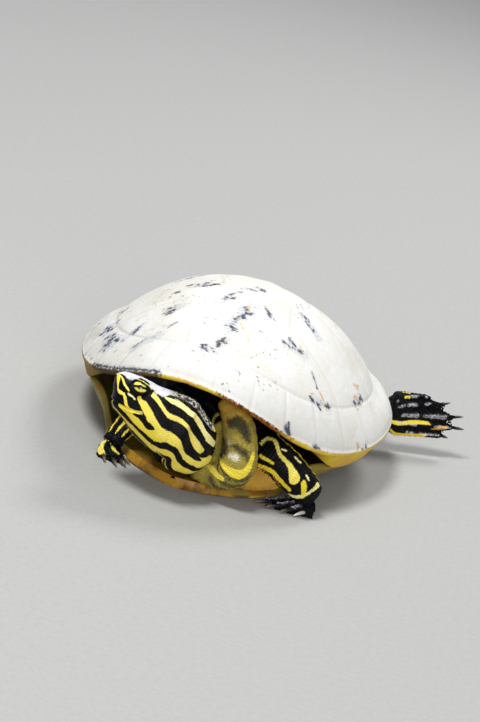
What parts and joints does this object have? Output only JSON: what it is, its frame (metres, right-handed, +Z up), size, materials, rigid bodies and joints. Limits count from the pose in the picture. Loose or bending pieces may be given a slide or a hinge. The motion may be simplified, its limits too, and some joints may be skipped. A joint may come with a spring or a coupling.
{
  "type": "pond slider turtle",
  "caption": "Life-size pond slider turtle basking on its belly, head turned aside and one hind leg stretched out behind.",
  "frame": {"origin": "on the floor under the middle of the shell, on the belly's flat underside", "axes": "-Y where the shell's front points, +X the turtle's left, +Z up"},
  "size_m": [0.201, 0.257, 0.0879],
  "materials": {
    "shell": "dry sun-bleached horn",
    "plastron": "smooth yellow horn",
    "skin": "damp scaly skin",
    "eye": "wet"
  },
  "bodies": {
    "root": {"carapace": "shell", "plastron": "plastron", "trunk": "skin", "head": "skin", "lower_jaw": "skin", "eye_left": "eye", "eye_right": "eye", "neck": "skin", "neck_fold": "skin", "front_left_leg": "skin", "front_left_foot": "skin", "front_right_leg": "skin", "front_right_foot": "skin", "hind_left_leg": "skin", "hind_left_foot": "skin", "hind_right_leg": "skin", "hind_right_foot": "skin", "tail": "skin"}
  },
  "joints": []
}
